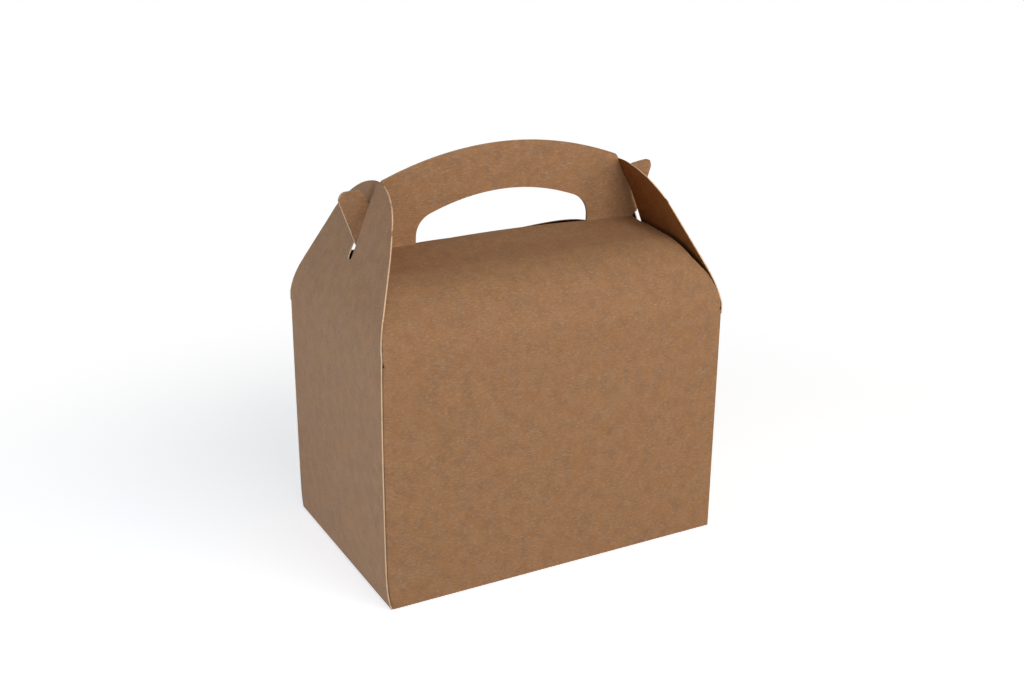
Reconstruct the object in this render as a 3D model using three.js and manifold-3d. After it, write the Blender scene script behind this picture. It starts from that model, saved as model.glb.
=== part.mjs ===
// A kraft board meal box with a carry handle: one die-cut, creased and glued sheet, shown closed.
// Millimetres, +Z up. The origin is the middle of the base, the front panel faces -Y, and the
// end panels face -X and +X. Every wall is drawn as a folded section of the sheet and then
// trimmed by the outline that the die cut, so folds, slots and hooks have their true form.
import * as THREE from "three";
import { mergeVertices } from "three/addons/utils/BufferGeometryUtils.js";
import Module from "manifold-3d";

// Body, outside sizes
const width = 152;
const depth = 102;
const wallHeight = 100; // the corner folds end here, and the closures and arches go on above
const board = 0.5; // thickness of the sheet
const cornerFold = 1.1; // outer radius of the upright and bottom folds
const seamFold = 0.8; // outer radius of the fold that turns into the glue flap
const glueFlap = 16;

// Closures, each a soft shoulder, a sloping roof and one half of the handle. The two meet at the
// same crease, but the sheet settles into a fuller brow in front and a steeper roof behind.
const creaseRise = 31; // above the walls
const creaseHeight = wallHeight + creaseRise;
const creaseFold = 0.4;
const frontBow = { shoulderRadius: 17, shoulderTurn: 35, browRadius: 30, roofPitch: 8.6 };
const backBow = { shoulderRadius: 14, shoulderTurn: 33, browRadius: 24, roofPitch: 17 };
const sheetGap = 0.3; // between the two halves of the handle
const sideClearance = 1; // from a closure's side edge to the arch

// Slot in each arch for the hooks
const slotWidth = 3.4;
const slotRise = 18.1; // top of the slot above the crease
const slotDrop = 3.8; // bottom of the slot below the crease
const slotTop = creaseHeight + slotRise;
const slotBottom = creaseHeight - slotDrop;

// End arches, which lean in from the end panels
const archBend = 44;
const archLean = 19.3;
const archSweep = 442; // radius of the slack curve above the bend
const archCrown = 7.9; // board left above the slot
const archHeight = slotTop + archCrown;
const archTopRadius = 35;
const archTaper = 31.8; // degrees from upright
const archShoulderRise = 2.6; // above the walls, as are the next two
const archEaseRise = 11.6;
const archTaperRise = 20.6;

// Handle, measured up from its crease
const handleRise = 37.7;
const handleRadius = 157;
const handleCornerInset = 1.44; // from the end of the handle to the start of its bowed top
const handleEndRise = 27;
const handleEndLead = 2; // the end leaves the arch's face this far below its rise
const handleEndEase = 0.6; // half the height of its rounded corner
const handleEndDraft = 0.3;
const holeWidth = 80.4;
const holeRise = 18.4;
const holeCornerRadius = 10;
const holeTopRadius = 94;

// Hooks at the ends of the handle, measured up from the crease
const hookInset = 3.8; // from the outside of the walls to the hook's outer side
const hookTop = 23.5;
const hookOuterTop = 19.8;
const hookNeckRise = 1.9;
const hookInnerLean = 2.2;
const hookCornerRadius = 1.8;
const hookSwell = 0.4; // the outer side bows out a little below its corner
const hookSwellRise = 1;
const hookDraft = 0.1;
const hookTipRun = 1.2; // the inner corner of the hook, beside the notch
const hookTipFall = 0.3;
const hookTipCorner = 0.5;
const hookTipDrop = 1.6;
const notchClearance = 0.3; // between the arch and the notch that it sits in
const neckClearance = 0.2; // from the neck's lower corner to the arch's inner face
const reliefRadius = 1.4;
const roofEdgeFacets = 12;
const handleTopFacets = 28;

// Base: two locking flaps below, two end flaps glued above them
const lockStep = 9;
const lockSlope = 10;
const lockGap = 0.4;
const flapClearance = 1.2; // from a base flap's side edge to the outside of the walls
const endFlapLength = 46;
const endFlapTaper = 14;

const arcStep = 4; // degrees of bend for one facet
const foldFacets = 4;
const halfWidth = width / 2;
const halfDepth = depth / 2;
const overlap = 1.5; // how far two stretches of one wall share their material
const beyond = 20; // how far a trimming outline reaches past the sheet

const wasm = await Module();
wasm.setup();

const radians = THREE.MathUtils.degToRad;

// Walks the outer face of a folded sheet, whose inside is on the right of the way.
// A step is { run } in millimetres or { bend, radius }, in degrees to the right, and
// `inset` gives the same path that far inside the outer face.
function walk(start, heading, steps, inset = 0) {
  let angle = radians(heading);
  const right = () => new THREE.Vector2(Math.sin(angle), -Math.cos(angle));
  let place = start.clone().addScaledVector(right(), inset);
  const path = [place.clone()];
  for (const { run, bend, radius, facets } of steps) {
    if (run !== undefined) {
      place.add(new THREE.Vector2(Math.cos(angle), Math.sin(angle)).multiplyScalar(run));
      path.push(place.clone());
      continue;
    }
    const reach = radius - Math.sign(bend) * inset;
    const centre = place.clone().addScaledVector(right(), Math.sign(bend) * reach);
    const from = angle;
    const pieces = facets ?? Math.max(2, Math.ceil(Math.abs(bend) / arcStep));
    for (let piece = 1; piece <= pieces; piece += 1) {
      angle = from - radians((bend * piece) / pieces);
      place = centre.clone().addScaledVector(right(), -Math.sign(bend) * reach);
      path.push(place.clone());
    }
  }
  return path;
}

// The closed section of a folded sheet, one board thick.
function foldedSection(start, heading, steps) {
  const outer = walk(start, heading, steps);
  const inner = walk(start, heading, steps, board);
  return new THREE.Shape([...outer, ...inner.reverse()]);
}

// A manifold solid from a three.js geometry, placed by a matrix.
function solid(geometry, matrix = new THREE.Matrix4()) {
  const bare = geometry.clone();
  bare.deleteAttribute("normal");
  bare.deleteAttribute("uv");
  bare.applyMatrix4(matrix);
  const merged = mergeVertices(bare, 1e-4);
  return new wasm.Manifold(
    new wasm.Mesh({
      numProp: 3,
      vertProperties: new Float32Array(merged.attributes.position.array),
      triVerts: new Uint32Array(merged.index.array),
    }),
  );
}

function extruded(shape, from, to, axes) {
  const geometry = new THREE.ExtrudeGeometry(shape, {
    depth: to - from,
    bevelEnabled: false,
    curveSegments: 16,
  });
  geometry.translate(0, 0, from);
  return solid(geometry, axes);
}

// Shapes are drawn in a plane and extruded along the third axis.
const planXY = new THREE.Matrix4();
const frontXZ = new THREE.Matrix4().makeBasis(
  new THREE.Vector3(1, 0, 0),
  new THREE.Vector3(0, 0, 1),
  new THREE.Vector3(0, -1, 0),
);
const sideYZ = new THREE.Matrix4().makeBasis(
  new THREE.Vector3(0, 1, 0),
  new THREE.Vector3(0, 0, 1),
  new THREE.Vector3(1, 0, 0),
);

function halfTurn(piece) {
  return piece.rotate([0, 0, 180]);
}

// A corner fold of the walls.
const corner = { bend: 90, radius: cornerFold, facets: foldFacets };

// Path of an end panel and its arch above the walls, from the lower left. The slack curve has
// as many whole facets as it takes to pass the top of the arch.
const sweepFacets = Math.ceil((archHeight - wallHeight) / (archSweep * radians(arcStep)));
const archSteps = [
  { bend: archLean, radius: archBend },
  { bend: arcStep * sweepFacets, radius: archSweep, facets: sweepFacets },
];

// Distance of the arch's face from the middle of the box at a height, `inset` inside its outer face.
function archFace(height, inset) {
  const path = walk(new THREE.Vector2(-halfWidth, wallHeight), 90, archSteps, inset);
  const above = Math.max(1, path.findIndex((point) => point.y >= height));
  const low = path[above - 1];
  const high = path[above];
  return -THREE.MathUtils.mapLinear(height, low.y, high.y, low.x, high.x);
}

// Walls: an open ring in plan, from the end panel's raw edge at the glue seam, round three
// folded corners, to the flap that the front panel turns in behind that edge.
function walls() {
  const seam = new THREE.Vector2(-halfWidth, -halfDepth);
  const section = foldedSection(seam, 90, [
    { run: depth - cornerFold },
    corner,
    { run: width - 2 * cornerFold },
    corner,
    { run: depth - 2 * cornerFold },
    corner,
    { run: width - board - cornerFold - seamFold },
    { bend: 90, radius: seamFold, facets: foldFacets },
    { run: glueFlap - seamFold },
  ]);
  return extruded(section, board, wallHeight, planXY);
}

// Folds of one closure above its wall. The flat between its two bends and the run of the roof
// are the two lengths that bring the crease to its height at the face of the handle.
function closureSteps({ shoulderRadius, shoulderTurn, browRadius, roofPitch }) {
  const shoulder = { bend: shoulderTurn, radius: shoulderRadius };
  const brow = { bend: 90 - roofPitch - shoulderTurn, radius: browRadius };
  const turn = { bend: roofPitch - 90, radius: creaseFold, facets: foldFacets };
  const bent = walk(new THREE.Vector2(-halfDepth, wallHeight), 90, [shoulder, brow, turn]).at(-1);
  const needY = -(sheetGap / 2 + board) - bent.x;
  const needZ = creaseHeight + creaseFold - bent.y;
  const flat = radians(90 - shoulderTurn);
  const roof = radians(roofPitch);
  const flatRun = (needZ * Math.cos(roof) - needY * Math.sin(roof)) / Math.sin(flat - roof);
  const roofRun = (needY - flatRun * Math.cos(flat)) / Math.cos(roof);
  return [shoulder, { run: flatRun }, brow, { run: roofRun }, turn];
}

// Side edge of the roof, which follows the arch, and the relief at the end of the crease.
function roofEdge(neckX, neck) {
  const edge = board + sideClearance;
  const edgeTop = creaseHeight - reliefRadius;
  const points = [new THREE.Vector2(halfWidth - edge, wallHeight - overlap)];
  for (let step = 0; step <= roofEdgeFacets; step += 1) {
    const height = THREE.MathUtils.lerp(wallHeight, edgeTop, step / roofEdgeFacets);
    points.push(new THREE.Vector2(archFace(height, edge), height));
  }
  const relief = new THREE.Path();
  relief.moveTo(archFace(edgeTop, edge), edgeTop);
  const middle = (edgeTop + neck) / 2;
  relief.quadraticCurveTo(neckX - reliefRadius, edgeTop, neckX - reliefRadius, middle);
  relief.quadraticCurveTo(neckX - reliefRadius, neck, neckX, neck);
  return [...points, ...relief.getPoints(6).slice(1)];
}

// Hook outside the arch, from the neck that passes through the slot to the notch's root.
function hookEdge(neckX, neck) {
  const hook = new THREE.Path();
  const outer = new THREE.Vector2(halfWidth - hookInset, creaseHeight + hookOuterTop);
  const top = creaseHeight + hookTop;
  const lean = outer.clone().sub(new THREE.Vector2(neckX, neck)).normalize();
  const below = outer.clone().addScaledVector(lean, -hookCornerRadius / 2);
  const side = outer.x - hookDraft;
  const corner = side - hookDraft;
  hook.moveTo(neckX, neck);
  hook.lineTo(below.x, below.y);
  hook.quadraticCurveTo(outer.x + hookSwell, outer.y + hookSwellRise, side, top - hookCornerRadius);
  hook.quadraticCurveTo(corner, top, corner - hookCornerRadius, top);
  const notchRoot = slotTop - notchClearance;
  const rootOuter = archFace(notchRoot, 0) + notchClearance;
  const tip = rootOuter + hookInnerLean;
  hook.lineTo(tip + hookTipRun, top - hookTipFall);
  hook.quadraticCurveTo(tip, top - hookTipCorner, tip - hookTipCorner, top - hookTipDrop);
  hook.lineTo(rootOuter, notchRoot);
  hook.lineTo(archFace(notchRoot, board + notchClearance), notchRoot);
  return hook.getPoints(5).slice(1);
}

// End of the handle behind the arch, then its long bowed top edge to the middle.
function handleEdge() {
  const behindArch = board + notchClearance;
  const endTop = creaseHeight + handleEndRise;
  const centre = creaseHeight + handleRise - handleRadius;
  const topAt = (x) => centre + Math.sqrt(handleRadius ** 2 - x ** 2);
  const end = archFace(archHeight, behindArch);
  const cornerX = end - handleCornerInset;
  const shoulder = new THREE.Path();
  shoulder.moveTo(archFace(endTop - handleEndLead, behindArch), endTop - handleEndLead);
  shoulder.lineTo(end, endTop - handleEndEase);
  shoulder.quadraticCurveTo(end - handleEndDraft, endTop + handleEndEase, cornerX, topAt(cornerX));
  const points = shoulder.getPoints(4);
  for (let step = 1; step <= handleTopFacets; step += 1) {
    const x = cornerX * (1 - step / handleTopFacets);
    points.push(new THREE.Vector2(x, topAt(x)));
  }
  return points;
}

// Outline of a closure seen from the front: the roof's side edges follow the arches, and the
// handle above its crease has hooks whose notches hold the arches.
function closureOutline() {
  const neck = creaseHeight + hookNeckRise;
  const neckX = archFace(neck, board) - neckClearance;
  const half = [...roofEdge(neckX, neck), ...hookEdge(neckX, neck), ...handleEdge()];
  const mirrored = half.slice(0, -1).map((point) => new THREE.Vector2(-point.x, point.y));
  return new THREE.Shape([...half, ...mirrored.reverse()]);
}

// Hand hole: a level lower edge on the crease, round upper corners and a bowed top.
function handHole() {
  const side = holeWidth / 2;
  const topCentre = creaseHeight + holeRise - holeTopRadius;
  const cornerX = side - holeCornerRadius;
  const cornerZ = topCentre + Math.sqrt((holeTopRadius - holeCornerRadius) ** 2 - cornerX ** 2);
  const turn = Math.atan2(cornerZ - topCentre, cornerX);
  const hole = new THREE.Shape();
  hole.moveTo(-side, creaseHeight);
  hole.lineTo(side, creaseHeight);
  hole.absarc(cornerX, cornerZ, holeCornerRadius, 0, turn, false);
  hole.absarc(0, topCentre, holeTopRadius, turn, Math.PI - turn, false);
  hole.absarc(-cornerX, cornerZ, holeCornerRadius, Math.PI - turn, Math.PI, false);
  return hole;
}

// A sheet trimmed by its outline, with one opening cut right through it.
function dieCut(sheet, outline, opening, from, to, axes) {
  const kept = sheet.intersect(extruded(outline, from, to, axes));
  return kept.subtract(extruded(opening, from, to, axes));
}

// One closure: the folded section from the wall to the handle, die-cut to its outline.
function closure(bow) {
  const start = new THREE.Vector2(-halfDepth, wallHeight - overlap);
  const section = foldedSection(start, 90, [
    { run: overlap },
    ...closureSteps(bow),
    { run: handleRise + beyond },
  ]);
  const sheet = extruded(section, -halfWidth, halfWidth, sideYZ);
  return dieCut(sheet, closureOutline(), handHole(), -depth, depth, frontXZ);
}

// Outline of an end arch seen from the side: an eased shoulder, a straight taper and a round top.
function archOutline() {
  const taper = radians(archTaper);
  const centre = archHeight - archTopRadius;
  const touchY = archTopRadius * Math.cos(taper);
  const touchZ = centre + archTopRadius * Math.sin(taper);
  const edgeAt = (height) => touchY + (touchZ - height) * Math.tan(taper);
  const shoulder = wallHeight + archShoulderRise;
  const ease = wallHeight + archEaseRise;
  const start = wallHeight + archTaperRise;
  const outline = new THREE.Shape();
  outline.moveTo(-halfDepth, wallHeight - overlap);
  outline.lineTo(halfDepth, wallHeight - overlap);
  outline.lineTo(halfDepth, shoulder);
  outline.quadraticCurveTo(edgeAt(ease), ease, edgeAt(start), start);
  outline.absarc(0, centre, archTopRadius, taper, Math.PI - taper, false);
  outline.lineTo(-edgeAt(start), start);
  outline.quadraticCurveTo(-edgeAt(ease), ease, -halfDepth, shoulder);
  return outline;
}

// Upright slot that the hooks pass through.
function hookSlot() {
  const half = slotWidth / 2;
  const slot = new THREE.Shape();
  slot.moveTo(-half, slotBottom + half);
  slot.absarc(0, slotBottom + half, half, Math.PI, 2 * Math.PI, false);
  slot.absarc(0, slotTop - half, half, 0, Math.PI, false);
  return slot;
}

function endArch() {
  const start = new THREE.Vector2(-halfWidth, wallHeight - overlap);
  const section = foldedSection(start, 90, [{ run: overlap }, ...archSteps]);
  const sheet = extruded(section, -depth, depth, frontXZ);
  return dieCut(sheet, archOutline(), hookSlot(), -width, 0, sideYZ);
}

// Front base flap: folded in from the wall's foot, its free edge stepped to lock into its twin.
function lockFlap() {
  const reach = lockStep + lockSlope;
  const start = new THREE.Vector2(reach, 0);
  const section = foldedSection(start, 180, [
    { run: reach + halfDepth - cornerFold },
    corner,
    { run: overlap + cornerFold },
  ]);
  const sheet = extruded(section, -halfWidth, halfWidth, sideYZ);
  const side = halfWidth - flapClearance;
  const outline = new THREE.Shape([
    new THREE.Vector2(-side, -halfDepth - beyond),
    new THREE.Vector2(side, -halfDepth - beyond),
    new THREE.Vector2(side, -halfDepth + cornerFold),
    new THREE.Vector2(side - flapClearance, -lockStep - lockGap / 2),
    new THREE.Vector2(lockSlope / 2, -lockStep - lockGap / 2),
    new THREE.Vector2(-lockSlope / 2, lockStep - lockGap / 2),
    new THREE.Vector2(flapClearance - side, lockStep - lockGap / 2),
    new THREE.Vector2(-side, -halfDepth + cornerFold),
  ]);
  return sheet.intersect(extruded(outline, -beyond, beyond, planXY));
}

// End base flap: folded in above the lock flaps, its corners cut back.
function endFlap() {
  const start = new THREE.Vector2(endFlapLength - halfWidth, board);
  const section = foldedSection(start, 180, [
    { run: endFlapLength - cornerFold },
    corner,
    { run: overlap },
  ]);
  const sheet = extruded(section, -halfDepth, halfDepth, frontXZ);
  const side = halfDepth - flapClearance - board;
  const tip = endFlapLength - halfWidth;
  const outline = new THREE.Shape([
    new THREE.Vector2(-halfWidth - beyond, -side),
    new THREE.Vector2(tip - endFlapTaper, -side),
    new THREE.Vector2(tip, endFlapTaper - side),
    new THREE.Vector2(tip, side - endFlapTaper),
    new THREE.Vector2(tip - endFlapTaper, side),
    new THREE.Vector2(-halfWidth - beyond, side),
  ]);
  return sheet.intersect(extruded(outline, -beyond, beyond, planXY));
}

function foldedCarton() {
  const front = closure(frontBow);
  const back = halfTurn(closure(backBow));
  const left = endArch();
  const lock = lockFlap();
  const tuck = endFlap();
  const pieces = [front, back, left, halfTurn(left), lock, halfTurn(lock), tuck, halfTurn(tuck)];
  return pieces.reduce((carton, piece) => carton.add(piece), walls());
}

function geometryOf(piece) {
  const { vertProperties, triVerts } = piece.getMesh();
  const geometry = new THREE.BufferGeometry();
  geometry.setAttribute("position", new THREE.BufferAttribute(vertProperties, 3));
  geometry.setIndex(new THREE.BufferAttribute(triVerts, 1));
  geometry.computeVertexNormals();
  return geometry;
}

const kraftBoard = new THREE.MeshStandardMaterial({
  color: 0x997356,
  roughness: 0.85,
  metalness: 0,
  side: THREE.DoubleSide,
});

const carton = new THREE.Mesh(geometryOf(foldedCarton()), kraftBoard);
carton.name = "folded_carton";

const group = new THREE.Group();
group.add(carton);

export default group;
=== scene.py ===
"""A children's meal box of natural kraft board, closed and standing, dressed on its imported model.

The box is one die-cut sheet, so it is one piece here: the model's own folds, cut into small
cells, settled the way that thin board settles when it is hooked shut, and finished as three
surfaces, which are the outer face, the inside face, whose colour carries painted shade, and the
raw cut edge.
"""

from __future__ import annotations

import logging
import math
from dataclasses import dataclass
from enum import Enum

import bpy
from mathutils import Euler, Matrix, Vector
from mathutils.bvhtree import BVHTree

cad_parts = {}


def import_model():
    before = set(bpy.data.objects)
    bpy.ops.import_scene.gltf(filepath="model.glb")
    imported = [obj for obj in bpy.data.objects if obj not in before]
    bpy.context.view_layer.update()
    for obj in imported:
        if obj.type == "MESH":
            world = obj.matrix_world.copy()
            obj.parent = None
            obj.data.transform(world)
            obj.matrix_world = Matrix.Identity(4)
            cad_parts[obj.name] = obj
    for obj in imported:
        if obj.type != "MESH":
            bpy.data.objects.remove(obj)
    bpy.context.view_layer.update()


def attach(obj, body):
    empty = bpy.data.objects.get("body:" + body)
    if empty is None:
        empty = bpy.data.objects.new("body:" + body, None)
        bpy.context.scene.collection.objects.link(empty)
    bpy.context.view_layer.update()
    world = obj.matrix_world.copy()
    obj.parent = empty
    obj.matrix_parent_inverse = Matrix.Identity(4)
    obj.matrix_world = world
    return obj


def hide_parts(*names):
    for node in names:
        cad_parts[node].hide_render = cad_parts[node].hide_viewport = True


LOG = logging.getLogger("meal_box")
MM = 0.001
BODY = "root"
WHITE = "#ffffff"

# Where an ease or a range begins and where it ends, which may be the lower of the two.
Ramp = tuple[float, float]


def linear(hex_colour: str) -> tuple[float, float, float, float]:
    """Turns an sRGB hex colour into the linear colour that a socket holds.

    Args:
        hex_colour: the colour as "#rrggbb".

    Returns:
        Red, green, blue and an alpha of 1.
    """
    channels = [int(hex_colour[place:place + 2], 16) / 255 for place in (1, 3, 5)]
    toe, slope, offset, gamma = 0.04045, 12.92, 0.055, 2.4
    values = [
        value / slope if value <= toe else ((value + offset) / (1 + offset)) ** gamma
        for value in channels
    ]
    return values[0], values[1], values[2], 1.0


def smooth(value: float, start: float, end: float) -> float:
    """Eases from 0 at start to 1 at end, which may be the lower of the two.

    Args:
        value: where to read the ease.
        start: where it is still 0.
        end: where it has become 1.

    Returns:
        A share from 0 to 1.
    """
    share = min(1.0, max(0.0, (value - start) / (end - start)))
    return share * share * (3 - 2 * share)


def add_node(
    tree: bpy.types.NodeTree, kind: str, settings: dict[str, object], inputs: dict[str | int, object],
) -> bpy.types.Node:
    """Adds a node with its settings, its values and its links.

    Args:
        tree: the node tree that it goes into.
        kind: the node's type.
        settings: the node's own properties.
        inputs: for each input, by name or number, a value or the output that feeds it.

    Returns:
        The new node.
    """
    node = tree.nodes.new(kind)
    for name, value in settings.items():
        setattr(node, name, value)
    for key, value in inputs.items():
        if isinstance(value, bpy.types.NodeSocket):
            tree.links.new(value, node.inputs[key])
        else:
            node.inputs[key].default_value = value
    return node


class Side(Enum):
    """Surfaces of the board, in the order of the carton's material slots."""

    OUTSIDE = 0
    INSIDE = 1
    CUT_EDGE = 2


class Part(Enum):
    """Parts of the folded sheet that settle in ways of their own."""

    FRONT_CLOSURE = "front closure"
    BACK_CLOSURE = "back closure"
    WALLS_AND_ARCHES = "walls and arches"


@dataclass(frozen=True)
class Pulp:
    """Patterns of the board's pulp, each a value of about 0.5 on the whole.

    Its fibres lie along the front panel, or across it from the front to the back.
    """

    patches: bpy.types.NodeSocket
    clouds: bpy.types.NodeSocket
    along: bpy.types.NodeSocket
    across: bpy.types.NodeSocket


@dataclass(frozen=True)
class KraftBoard:
    """Uncoated natural kraft board, made from unbleached long-fibre pulp.

    It is matt and warm brown. The pulp clumps into soft patches a few millimetres wide, long
    fibres lie along the sheet, and bark leaves a few dark flecks. Sizes are in millimetres.
    """

    name: str
    dense: str
    open: str
    warm: str
    dark_fleck: str
    pale_fleck: str
    contrast: float = 0.13
    patch: float = 5.0
    patch_octaves: float = 5.0
    warmth: float = 0.4
    cloud: float = 5.0
    cloud_octaves: float = 4.0
    cloud_stretch: tuple[float, float, float] = (1.0, 1.3, 0.8)
    cloud_range: Ramp = (0.35, 0.65)
    # A softwood fibre is about 0.03 mm thick, so the fibres are drawn as coarse as they need to show.
    fibre_width: float = 0.45
    fibre_length: float = 1.5
    fibre_octaves: float = 2.0
    fibre_share: float = 0.68
    fibre_cover: float = 0.44
    fibre_range: Ramp = (0.58, 0.72)
    fleck_spacing: float = 9.0
    fleck_radius: float = 0.28
    fleck_rim: Ramp = (0.6, 1.4)
    fleck_shift: float = 0.37
    dark_cover: float = 0.55
    pale_cover: float = 0.45
    octave_gain: float = 0.62
    roughness: Ramp = (0.62, 0.86)
    roughness_range: Ramp = (0.3, 0.7)
    relief: float = 0.05
    relief_strength: float = 0.6
    ior: float = 1.5
    sheen: float = 0.08

    def material(self) -> bpy.types.Material:
        """Builds the finish.

        Returns:
            The material.
        """
        material = bpy.data.materials.new(self.name)
        material.use_nodes = True
        tree = material.node_tree
        tree.nodes.clear()
        place = add_node(tree, "ShaderNodeTexCoord", {}, {}).outputs["Object"]
        pulp = self._pulp(tree, place)
        fibres = add_node(tree, "ShaderNodeMix", {"data_type": "FLOAT"}, {
            0: 0.5, 2: pulp.along, 3: pulp.across,
        }).outputs[0]
        grain = add_node(tree, "ShaderNodeMix", {"data_type": "FLOAT"}, {
            0: self.fibre_share, 2: pulp.patches, 3: fibres,
        }).outputs[0]
        roughness = add_node(tree, "ShaderNodeMapRange", {}, {
            "Value": fibres,
            "From Min": self.roughness_range[0], "From Max": self.roughness_range[1],
            "To Min": self.roughness[0], "To Max": self.roughness[1],
        }).outputs["Result"]
        bump = add_node(tree, "ShaderNodeBump", {}, {
            "Strength": self.relief_strength, "Distance": self.relief * MM, "Height": grain,
        }).outputs["Normal"]
        board = add_node(tree, "ShaderNodeBsdfPrincipled", {}, {
            "Base Color": self._colour(tree, place, grain, pulp),
            "Roughness": roughness, "Normal": bump,
            "IOR": self.ior, "Specular IOR Level": self.sheen,
        })
        add_node(tree, "ShaderNodeOutputMaterial", {}, {"Surface": board.outputs["BSDF"]})
        return material

    def _colour(
        self, tree: bpy.types.NodeTree, place: bpy.types.NodeSocket, grain: bpy.types.NodeSocket,
        pulp: Pulp,
    ) -> bpy.types.NodeSocket:
        """Lays the tones of the pulp, its fibres and its flecks over each other.

        Args:
            tree: the material's tree.
            place: the coordinates in metres.
            grain: the patches and the fibres together.
            pulp: the patterns of the pulp.

        Returns:
            The board's colour.
        """
        spread = add_node(tree, "ShaderNodeMapRange", {}, {
            "Value": grain,
            "From Min": 0.5 - self.contrast / 2, "From Max": 0.5 + self.contrast / 2,
        }).outputs["Result"]
        clouds = add_node(tree, "ShaderNodeMapRange", {}, {
            "Value": pulp.clouds,
            "From Min": self.cloud_range[0], "From Max": self.cloud_range[1],
            "To Max": self.warmth,
        }).outputs["Result"]
        pale_strands, dark_strands = (
            add_node(tree, "ShaderNodeMapRange", {}, {
                "Value": fibres, "From Min": self.fibre_range[0], "From Max": self.fibre_range[1],
                "To Max": self.fibre_cover,
            }).outputs["Result"]
            for fibres in (pulp.along, pulp.across)
        )
        tones = (
            (spread, self.open),
            (clouds, self.warm),
            (pale_strands, self.pale_fleck),
            (dark_strands, self.dark_fleck),
            (self._flecks(tree, place, 0.0, self.dark_cover), self.dark_fleck),
            (self._flecks(tree, place, self.fleck_shift, self.pale_cover), self.pale_fleck),
        )
        colour: tuple[float, ...] | bpy.types.NodeSocket = linear(self.dense)
        for share, tone in tones:
            colour = add_node(tree, "ShaderNodeMix", {"data_type": "RGBA"}, {
                0: share, 6: colour, 7: linear(tone),
            }).outputs[2]
        return colour

    def _pulp(self, tree: bpy.types.NodeTree, place: bpy.types.NodeSocket) -> Pulp:
        """Adds the patterns of the clumped pulp.

        Args:
            tree: the material's tree.
            place: the coordinates in metres.

        Returns:
            The patterns.
        """
        drawn = self.fibre_width / self.fibre_length
        # What each axis is multiplied by, below 1 for clumps drawn out along it, then the size
        # of the largest clumps, and how many times finer ones are added at half the size.
        shapes = {
            "patches": ((1.0, 1.0, 1.0), self.patch, self.patch_octaves),
            "clouds": (self.cloud_stretch, self.cloud, self.cloud_octaves),
            "along": ((drawn, 1.0, 1.0), self.fibre_width, self.fibre_octaves),
            "across": ((1.0, drawn, 1.0), self.fibre_width, self.fibre_octaves),
        }
        values: dict[str, bpy.types.NodeSocket] = {}
        for name, (stretch, size, octaves) in shapes.items():
            scale = tuple(share / (size * MM) for share in stretch)
            mapped = add_node(tree, "ShaderNodeMapping", {}, {"Vector": place, "Scale": scale})
            values[name] = add_node(tree, "ShaderNodeTexNoise", {}, {
                "Vector": mapped.outputs["Vector"], "Scale": 1.0,
                "Detail": octaves, "Roughness": self.octave_gain,
            }).outputs[0]
        return Pulp(**values)

    def _flecks(
        self, tree: bpy.types.NodeTree, place: bpy.types.NodeSocket, shift: float, cover: float,
    ) -> bpy.types.NodeSocket:
        """Adds sparse flecks, one in each cell of a loose grid.

        Args:
            tree: the material's tree.
            place: the coordinates in metres.
            shift: moves the pattern, so that two kinds of fleck don't coincide.
            cover: how much a fleck covers the board.

        Returns:
            The share of fleck colour at a point.
        """
        cells = (1.0 / (self.fleck_spacing * MM),) * 3
        mapped = add_node(tree, "ShaderNodeMapping", {}, {
            "Vector": place, "Scale": cells, "Location": (shift, shift, shift),
        })
        cell = add_node(tree, "ShaderNodeTexVoronoi", {}, {
            "Vector": mapped.outputs["Vector"], "Scale": 1.0,
        })
        radius = self.fleck_radius / self.fleck_spacing
        return add_node(tree, "ShaderNodeMapRange", {}, {
            "Value": cell.outputs["Distance"],
            "From Min": radius * self.fleck_rim[0], "From Max": radius * self.fleck_rim[1],
            "To Min": cover, "To Max": 0.0,
        }).outputs["Result"]


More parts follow.
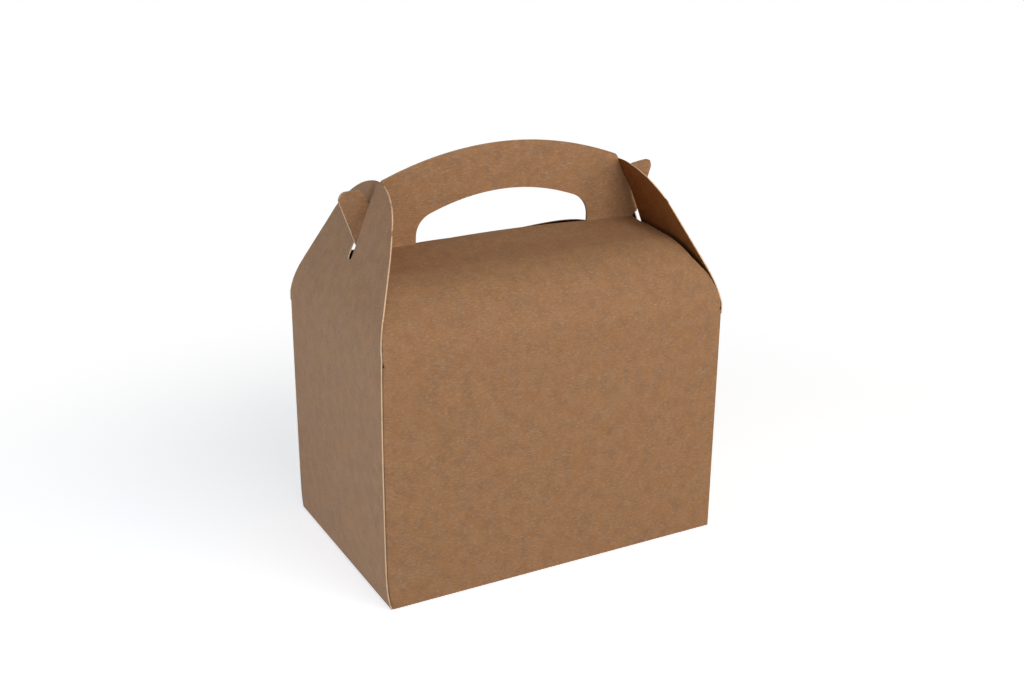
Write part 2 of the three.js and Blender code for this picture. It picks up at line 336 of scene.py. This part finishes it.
@dataclass(frozen=True)
class Settling:
    """How thin board gives way when it is hooked shut, as moves of the points of the sheet.

    Lengths and places are in millimetres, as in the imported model. X runs along the front panel,
    y from the front to the back and z up. A ramp names the places where a move begins and where
    it is whole.
    """

    half_width: float = 76.0
    half_depth: float = 51.0
    seam_bulge: float = 2.35
    seam_foot: float = 5.0
    seam_end: float = 135.0
    seam_fullness: int = 4
    seam_behind: float = 0.3
    brow_dip: float = 0.8
    brow_rises: Ramp = (60.0, 100.0)
    brow_fades: Ramp = (128.0, 104.0)
    crease_shift: float = -0.1
    crease_slope: float = 0.0125
    end_droop: float = 2.0
    droop_from: float = 20.0
    droop_length: float = 72.0
    droop_power: float = 1.7
    hook_begins: Ramp = (54.0, 64.0)
    hook_rise: float = 0.8
    hook_lifts: Ramp = (62.0, 70.0)
    roof_follows: Ramp = (118.0, 131.0)
    handle_follows: Ramp = (131.0, 153.0)
    hole_side: float = 40.2
    sill_near: Ramp = (14.0, 1.0)
    sill_top: Ramp = (132.0, 131.5)
    front_sill_rise: float = 1.0
    back_sill_fullness: int = 10
    back_sill_left: Ramp = (10.0, -36.0)
    back_sill_left_rise: float = 0.3
    back_sill_right: Ramp = (-6.0, 30.0)
    back_sill_right_rise: float = 0.6
    back_sill_gap: float = 3.0
    side_close: float = 0.8
    side_near: Ramp = (58.0, 73.0)
    side_foot: Ramp = (100.0, 102.0)
    side_fades: Ramp = (124.0, 112.0)
    right_gap: float = 1.6
    right_near: Ramp = (48.0, 62.0)
    right_rises: Ramp = (112.0, 122.0)
    right_fades: Ramp = (133.0, 129.0)
    slot_half: float = 1.8
    slot_pinch: float = 0.65
    slot_closes: Ramp = (138.0, 149.0)
    hook_reach: float = 72.2
    hook_top: float = 154.5
    worn_corner: float = 4.0

    def moved(self, rest: Vector, part: Part) -> Vector:
        """Moves a point of the sheet as it was folded to where it settles.

        Args:
            rest: the point as folded.
            part: the part of the sheet that it belongs to.

        Returns:
            The point as settled.
        """
        place = rest.copy()
        if part is Part.WALLS_AND_ARCHES:
            place.y += self._slot_shift(rest)
        else:
            place = self._worn(place)
            place += self._sill_shift(rest, part)
            place.x += self._side_shift(rest)
            place.z += self._closure_drop(rest)
        place.x += self._seam_shift(rest)
        place.y += self._brow_shift(rest)
        return place

    def _seam_shift(self, place: Vector) -> float:
        """Pushes out the glued corner at the left front, where the board lies double.

        Args:
            place: the point as folded.

        Returns:
            Its move along x.
        """
        foot = 1 - math.exp(-place.z / self.seam_foot)
        top = 1 - min(1.0, place.z / self.seam_end) ** self.seam_fullness
        along = ((self.half_width - place.x) / (2 * self.half_width)) ** 2
        behind = (place.y + self.half_depth) / (2 * self.half_depth)
        return -self.seam_bulge * foot * top * along * (1 - behind * (1 - self.seam_behind))

    def _brow_shift(self, place: Vector) -> float:
        """Lets the top of the front panel and the foot of its roof sink in.

        Args:
            place: the point as folded.

        Returns:
            Its move along y.
        """
        middle = 1 - (place.x / self.half_width) ** 2
        rise = smooth(place.z, *self.brow_rises)
        fade = smooth(place.z, *self.brow_fades)
        return self.brow_dip * middle * rise * fade if place.y < 0 else 0.0

    def _closure_drop(self, place: Vector) -> float:
        """Lets the left end of the handle hang, tilts the crease and lifts the right hook.

        Args:
            place: the point as folded.

        Returns:
            Its move along z.
        """
        handle = 1 - smooth(abs(place.x), *self.hook_begins)
        level = (self.crease_shift + self.crease_slope * place.x) * handle
        reach = min(1.0, max(0.0, (self.droop_from - place.x) / self.droop_length))
        top = -self.end_droop * reach ** self.droop_power * handle
        top += self.hook_rise * smooth(place.x, *self.hook_lifts)
        rise = smooth(place.z, *self.handle_follows)
        roof = smooth(place.z, *self.roof_follows)
        return (level * (1 - rise) + top * rise) * roof

    def _sill_shift(self, place: Vector, part: Part) -> Vector:
        """Parts the free edges below the hand hole: the front one lifts, the back one twists.

        Args:
            place: the point as folded.
            part: the closure that it belongs to.

        Returns:
            Its move.
        """
        near = smooth(abs(place.y), *self.sill_near) * smooth(place.z, *self.sill_top)
        across = min(1.0, abs(place.x) / self.hole_side)
        if part is Part.FRONT_CLOSURE:
            return Vector((0, 0, self.front_sill_rise * (1 - across ** 2) * near))
        near *= 1 - across ** self.back_sill_fullness
        left = smooth(place.x, *self.back_sill_left) * near
        right = smooth(place.x, *self.back_sill_right) * near
        rise = self.back_sill_left_rise * left + self.back_sill_right_rise * right
        return Vector((0, self.back_sill_gap * right, rise))

    def _side_shift(self, place: Vector) -> float:
        """Springs a roof's side edges out at their foot, and draws the right one in near the crease.

        Args:
            place: the point as folded.

        Returns:
            Its move along x.
        """
        edge = smooth(abs(place.x), *self.side_near) * smooth(place.z, *self.side_fades)
        close = self.side_close * edge * smooth(place.z, *self.side_foot)
        upper = smooth(place.z, *self.right_rises) * smooth(place.z, *self.right_fades)
        gap = self.right_gap * smooth(place.x, *self.right_near) * upper
        return math.copysign(close, place.x) - gap

    def _slot_shift(self, place: Vector) -> float:
        """Springs an end arch's slot shut near its top, above the neck of the hook.

        Args:
            place: the point as folded.

        Returns:
            Its move along y.
        """
        if abs(place.y) > self.slot_half:
            return 0.0
        return -self.slot_pinch * place.y * smooth(place.z, *self.slot_closes)

    def _worn(self, place: Vector) -> Vector:
        """Rounds the outer corner of the left hook, which is bruised from being pushed through.

        Args:
            place: the point as folded.

        Returns:
            The point, drawn in to the corner's round where it lies outside it.
        """
        centre = Vector((self.worn_corner - self.hook_reach, 0, self.hook_top - self.worn_corner))
        reach = Vector((place.x - centre.x, 0, place.z - centre.z))
        if reach.x > 0 or reach.z < 0 or reach.length <= self.worn_corner:
            return place
        return place + reach.normalized() * (self.worn_corner - reach.length)


@dataclass(frozen=True)
class Carton:
    """The folded sheet of board. Lengths and places are in millimetres, angles in degrees.

    A raw edge is told by two shares of the board's thickness: it is at most so wide, and at
    least so deep. The sheets that lean above the walls are cut askew, so theirs are wider and
    less deep.
    """

    name: str = "kraft_carton"
    node: str = "folded_carton"
    cell: float = 3.0
    weld: float = 0.002
    flat_angle: float = 0.05
    smooth_angle: float = 30.0
    board: float = 0.5
    wall_height: float = 100.0
    middle_height: float = 60.0
    skin: float = 0.02
    probe: float = 20.0
    wall_edge: tuple[float, float] = (1.3, 3.2)
    lean_edge: tuple[float, float] = (1.7, 1.15)
    lean_rise: float = 2.0
    settling: Settling = Settling()
    # Natural kraft face: the calender leaves it a little smoother, so it has a faint sheen.
    outside: KraftBoard = KraftBoard(
        "kraft_board_face", dense="#8c6a4e", open="#a17b5a", warm="#a87548",
        dark_fleck="#6f4d33", pale_fleck="#bf9467",
    )
    # Natural kraft inside face: the same pulp, a little rougher; its darker, oranger colours are
    # painted shade and painted bounce light.
    inside: KraftBoard = KraftBoard(
        "kraft_board_inside_painted_shade", dense="#7c4922", open="#915a2e", warm="#965525",
        dark_fleck="#684020", pale_fleck="#ad8258", roughness=(0.75, 0.92), sheen=0.03,
    )
    # Raw die-cut edge: broken fibres stand open there, so it is paler than the faces.
    cut_edge: KraftBoard = KraftBoard(
        "kraft_board_cut_edge", dense="#c9a682", open="#e8c8a4", warm="#dbb48a",
        dark_fleck="#a48467", pale_fleck="#efdcc8", fibre_width=0.3, fibre_length=1.2,
        roughness=(0.85, 0.97),
    )

    def build(self) -> bpy.types.Object:
        """Models, finishes and hands over the carton.

        Returns:
            The carton's object.
        """
        sheet = self._copy_of_node()
        self._cut_into_cells(sheet)
        self._settle(sheet)
        self._dress(sheet)
        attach(sheet, BODY)
        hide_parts(self.node)
        return sheet

    def _copy_of_node(self) -> bpy.types.Object:
        """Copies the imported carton's mesh to an object of its own, the only one selected.

        Returns:
            The new object.
        """
        bpy.ops.object.select_all(action="DESELECT")
        sheet = bpy.data.objects.new(self.name, bpy.data.objects[self.node].data.copy())
        sheet.data.name = self.name
        sheet.data.materials.clear()
        bpy.context.scene.collection.objects.link(sheet)
        sheet.select_set(True)
        bpy.context.view_layer.objects.active = sheet
        return sheet

    def _cut_into_cells(self, sheet: bpy.types.Object) -> None:
        """Joins the flat facets, then cuts the sheet by level planes so that it can bend softly.

        Args:
            sheet: the carton.
        """
        corners = [vertex.co.copy() for vertex in sheet.data.vertices]
        bpy.ops.object.mode_set(mode="EDIT")
        bpy.ops.mesh.select_all(action="SELECT")
        bpy.ops.mesh.remove_doubles(threshold=self.weld * MM)
        bpy.ops.mesh.dissolve_limited(angle_limit=math.radians(self.flat_angle))
        for axis in range(3):
            low = min(corner[axis] for corner in corners)
            high = max(corner[axis] for corner in corners)
            count = round((high - low) / (self.cell * MM))
            normal = Vector((axis == 0, axis == 1, axis == 2))
            for step in range(1, count):
                place = normal * (low + (high - low) * step / count)
                bpy.ops.mesh.select_all(action="SELECT")
                bpy.ops.mesh.bisect(plane_co=place, plane_no=normal)
        bpy.ops.mesh.select_all(action="DESELECT")
        bpy.ops.object.mode_set(mode="OBJECT")

    def _closure(self, mesh: bpy.types.Mesh, part: Part) -> set[int]:
        """Finds one closure, which hangs together above the walls.

        Args:
            mesh: the carton's mesh.
            part: the front closure or the back one.

        Returns:
            The numbers of its vertices.
        """
        floor = (self.wall_height + self.board) * MM
        high = {vertex.index: vertex.co for vertex in mesh.vertices if vertex.co.z > floor}
        neighbours: dict[int, list[int]] = {index: [] for index in high}
        for edge in mesh.edges:
            first, second = edge.vertices
            if first in high and second in high:
                neighbours[first].append(second)
                neighbours[second].append(first)
        front = part is Part.FRONT_CLOSURE
        half = [index for index, place in high.items() if (place.y < 0) == front]
        waiting = [max(half, key=lambda index: high[index].z)]
        found = set(waiting)
        while waiting:
            for index in neighbours[waiting.pop()]:
                if index not in found:
                    found.add(index)
                    waiting.append(index)
        return found

    def _settle(self, sheet: bpy.types.Object) -> None:
        """Lets the folded sheet settle.

        Args:
            sheet: the carton.
        """
        parts = {
            index: part
            for part in (Part.BACK_CLOSURE, Part.FRONT_CLOSURE)
            for index in self._closure(sheet.data, part)
        }
        for vertex in sheet.data.vertices:
            part = parts.get(vertex.index, Part.WALLS_AND_ARCHES)
            vertex.co = self.settling.moved(vertex.co / MM, part) * MM
        sheet.data.update()

    def _side_of(
        self, face: bpy.types.MeshPolygon, tree: BVHTree, edges: dict[tuple[int, int], float],
    ) -> Side:
        """Tells which surface of the board a face belongs to.

        Args:
            face: one face of the carton.
            tree: the carton's faces, for looking through the board.
            edges: the length of each edge.

        Returns:
            The surface.
        """
        inward = -face.normal
        start = face.center + inward * self.skin * MM
        depth = tree.ray_cast(start, inward, self.probe * MM)[3]
        leans = face.center.z > (self.wall_height + self.lean_rise) * MM
        widest, shallowest = self.lean_edge if leans else self.wall_edge
        width = face.area / max(edges[key] for key in face.edge_keys) / (self.board * MM)
        layers = math.inf if depth is None else depth / (self.board * MM)
        if width < widest and layers > shallowest:
            return Side.CUT_EDGE
        middle = Vector((0, 0, self.middle_height * MM))
        return Side.OUTSIDE if face.normal.dot(face.center - middle) > 0 else Side.INSIDE

    def _dress(self, sheet: bpy.types.Object) -> None:
        """Gives each face the finish of its side of the board, and smooths the folds.

        Args:
            sheet: the carton.
        """
        mesh = sheet.data
        for finish in (self.outside, self.inside, self.cut_edge):
            mesh.materials.append(finish.material())
        tree = BVHTree.FromPolygons(
            [vertex.co for vertex in mesh.vertices], [face.vertices for face in mesh.polygons],
        )
        edges = {
            edge.key: (mesh.vertices[edge.key[0]].co - mesh.vertices[edge.key[1]].co).length
            for edge in mesh.edges
        }
        for face in mesh.polygons:
            face.material_index = self._side_of(face, tree, edges).value
        bpy.ops.object.shade_smooth_by_angle(angle=math.radians(self.smooth_angle))
        bpy.ops.object.select_all(action="DESELECT")


@dataclass(frozen=True)
class Lamp:
    """A square soft box, aimed at the middle of the carton. Lengths are in metres."""

    name: str
    towards: tuple[float, float, float]
    distance: float
    side: float
    watts: float
    tint: str = WHITE

    def build(self, aim: Vector) -> None:
        """Hangs the lamp.

        Args:
            aim: the point that it faces.
        """
        data = bpy.data.lights.new(self.name, "AREA")
        data.energy = self.watts
        data.shape = "SQUARE"
        data.size = self.side
        data.color = linear(self.tint)[:3]
        lamp = bpy.data.objects.new(self.name, data)
        lamp.location = aim + Vector(self.towards).normalized() * self.distance
        lamp.rotation_euler = (aim - lamp.location).to_track_quat("-Z", "Y").to_euler()
        bpy.context.scene.collection.objects.link(lamp)


@dataclass(frozen=True)
class Studio:
    """Pale floor, white wall and soft light. Lengths are in metres.

    The lamps on the left are a little bluish, as light from a window is.
    """

    aim: tuple[float, float, float] = (0.0, 0.0, 0.08)
    floor_side: float = 16.0
    floor_colour: str = "#b4b2b0"
    floor_fill: float = 2.2
    shadow_tint: str = "#fffdf9"
    shadow_share: float = 0.7
    shadow_reach: Ramp = (0.14, 0.34)
    world_strength: float = 0.04
    lamps: tuple[Lamp, ...] = (
        Lamp("soft_front", (0.15, -1.0, 0.45), 1.2, 1.0, 7.0),
        Lamp("left_front", (-0.75, -0.65, 0.3), 1.6, 1.0, 3.6, "#e8f0ff"),
        Lamp("low_right", (0.8, -0.6, 0.1), 1.2, 0.6, 4.6),
        Lamp("low_left", (-1.0, -0.1, -0.06), 0.6, 0.25, 3.9, "#c8deff"),
        Lamp("near_high", (0.2, -0.75, 0.8), 0.6, 0.35, 0.5),
        Lamp("near_right", (0.5, -0.8, 0.5), 0.7, 0.3, 0.5),
        Lamp("top", (0.0, 0.15, 1.0), 1.4, 1.0, 1.4),
    )

    def build(self) -> None:
        """Sets up the wall, the floor and the lamps."""
        bpy.context.scene.view_settings.view_transform = "Standard"
        self._world()
        self._floor()
        for lamp in self.lamps:
            lamp.build(Vector(self.aim))

    def _world(self) -> None:
        """Lights the room evenly, and shows the camera a white wall."""
        world = bpy.data.worlds.new("studio")
        bpy.context.scene.world = world
        world.use_nodes = True
        tree = world.node_tree
        tree.nodes.clear()
        strength = add_node(tree, "ShaderNodeMapRange", {}, {
            "Value": self._seen(tree), "To Min": self.world_strength, "To Max": 1.0,
        }).outputs["Result"]
        room = add_node(tree, "ShaderNodeBackground", {}, {
            "Color": linear(WHITE), "Strength": strength,
        })
        add_node(tree, "ShaderNodeOutputWorld", {}, {"Surface": room.outputs["Background"]})

    def _seen(self, tree: bpy.types.NodeTree) -> bpy.types.NodeSocket:
        """Tells the rays that look at the background from those that light the carton.

        Args:
            tree: the tree of the world or of the floor's material.

        Returns:
            1 for a ray of the camera, of a reflection or of a see-through surface, otherwise 0.
        """
        path = add_node(tree, "ShaderNodeLightPath", {}, {})
        shiny = add_node(tree, "ShaderNodeMath", {"operation": "MAXIMUM"}, {
            0: path.outputs["Is Camera Ray"], 1: path.outputs["Is Glossy Ray"],
        }).outputs[0]
        return add_node(tree, "ShaderNodeMath", {"operation": "MAXIMUM"}, {
            0: shiny, 1: path.outputs["Is Transmission Ray"],
        }).outputs[0]

    def _floor(self) -> None:
        """Lays a white floor around the foot of the carton."""
        bpy.ops.mesh.primitive_plane_add(size=self.floor_side, location=(0, 0, 0))
        floor = bpy.context.object
        floor.name = "floor"
        floor.data.materials.append(self._table())
        bpy.ops.object.select_all(action="DESELECT")

    def _table(self) -> bpy.types.Material:
        """Builds the floor's finish, which shows white but for the carton's own soft shadow.

        Returns:
            The material.
        """
        # White table top, matt: it is seen as pure white, with a filled shadow near the carton,
        # and throws back only as much light as a grey one, so that the carton keeps its colour.
        material = bpy.data.materials.new("white_table")
        material.use_nodes = True
        tree = material.node_tree
        tree.nodes.clear()
        place = add_node(tree, "ShaderNodeTexCoord", {}, {}).outputs["Object"]
        distance = add_node(tree, "ShaderNodeVectorMath", {"operation": "LENGTH"}, {0: place})
        near = add_node(tree, "ShaderNodeMapRange", {"interpolation_type": "SMOOTHSTEP"}, {
            "Value": distance.outputs["Value"],
            "From Min": self.shadow_reach[0], "From Max": self.shadow_reach[1],
            "To Min": 1.0, "To Max": 0.0,
        }).outputs["Result"]
        plain = add_node(tree, "ShaderNodeBsdfDiffuse", {}, {"Color": linear(self.floor_colour)})
        lit = add_node(tree, "ShaderNodeBsdfDiffuse", {}, {"Color": linear(self.shadow_tint)})
        fill = add_node(tree, "ShaderNodeEmission", {}, {
            "Color": linear(WHITE), "Strength": self.floor_fill,
        })
        white = add_node(tree, "ShaderNodeEmission", {}, {"Color": linear(WHITE), "Strength": 1.0})
        shadowed = add_node(tree, "ShaderNodeMixShader", {}, {
            0: self.shadow_share, 1: fill.outputs["Emission"], 2: lit.outputs["BSDF"],
        })
        spread = add_node(tree, "ShaderNodeMixShader", {}, {
            0: near, 1: white.outputs["Emission"], 2: shadowed.outputs["Shader"],
        })
        surface = add_node(tree, "ShaderNodeMixShader", {}, {
            0: self._seen(tree), 1: plain.outputs["BSDF"], 2: spread.outputs["Shader"],
        })
        add_node(tree, "ShaderNodeOutputMaterial", {}, {"Surface": surface.outputs["Shader"]})
        return material


@dataclass(frozen=True)
class PhotoCamera:
    """The camera at the photograph's place.

    Angles are in degrees and lengths in metres, but the lens and the sensor are in millimetres.
    """

    name: str = "photo_camera"
    azimuth: float = -28.762
    elevation: float = 18.832
    distance: float = 0.529268
    target: tuple[float, float, float] = (0.00415, 0.0, 0.082028)
    roll: float = 0.344
    lens: float = 43.34
    sensor: float = 36.0
    sight: float = 50.0

    def build(self) -> None:
        """Places the camera and makes it the scene's own."""
        turn, lift = math.radians(self.azimuth), math.radians(self.elevation)
        back = Vector((
            math.sin(turn) * math.cos(lift), -math.cos(turn) * math.cos(lift), math.sin(lift),
        ))
        data = bpy.data.cameras.new(self.name)
        data.sensor_fit = "HORIZONTAL"
        data.sensor_width = self.sensor
        data.lens = self.lens
        data.clip_end = self.sight
        camera = bpy.data.objects.new(self.name, data)
        camera.location = Vector(self.target) + back * self.distance
        aim = (-back).to_track_quat("-Z", "Y")
        aim = aim @ Euler((0, 0, math.radians(self.roll))).to_quaternion()
        camera.rotation_euler = aim.to_euler()
        bpy.context.scene.collection.objects.link(camera)
        bpy.context.scene.camera = camera


def main() -> None:
    """Builds the camera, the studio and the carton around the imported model."""
    logging.basicConfig(level=logging.INFO)
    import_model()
    PhotoCamera().build()
    Studio().build()
    sheet = Carton().build()
    LOG.info("%s: %d faces", sheet.name, len(sheet.data.polygons))


if __name__ == "__main__":
    main()
